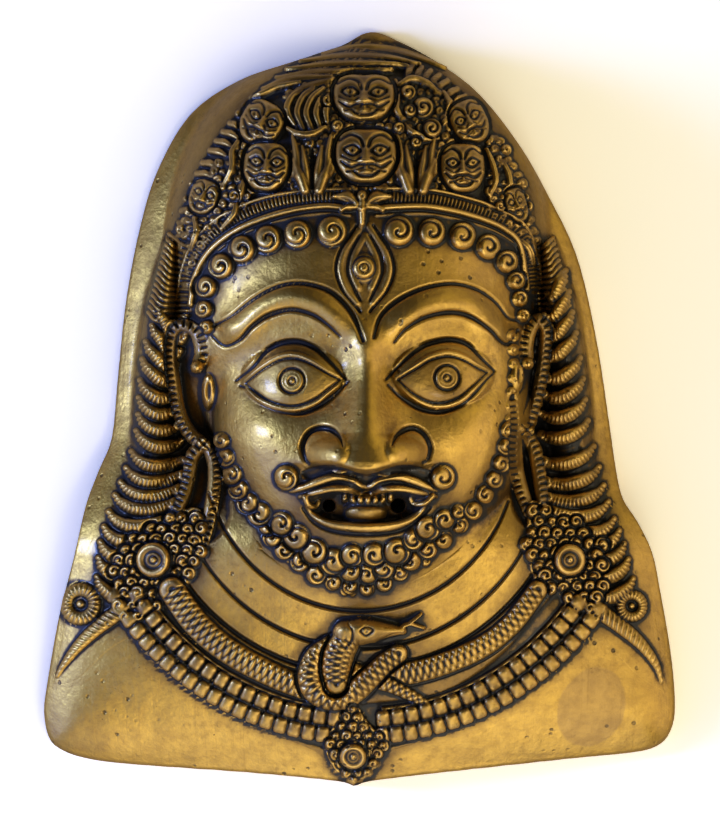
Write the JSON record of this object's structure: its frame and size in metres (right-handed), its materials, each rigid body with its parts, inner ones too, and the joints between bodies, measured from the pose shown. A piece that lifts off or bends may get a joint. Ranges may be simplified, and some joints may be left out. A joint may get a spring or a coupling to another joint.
{
  "type": "brass wall mask",
  "caption": "Cast wall mask: a wrathful three-eyed face with a crown of small heads, curled beard, side ringlets and a snake and bead collar, hollow behind a flat rim.",
  "frame": {"origin": "centre of the bounding box on the plane of the flat back rim", "axes": "+Z the way the face looks, away from the rim plane; +Y towards the peak of the crown; +X to the viewer's right"},
  "size_m": [0.209, 0.2498, 0.0757],
  "materials": {
    "brass": "cast, worn bright on high places, dark patina in the recesses"
  },
  "bodies": {
    "root": {"mask": "brass"}
  },
  "joints": []
}
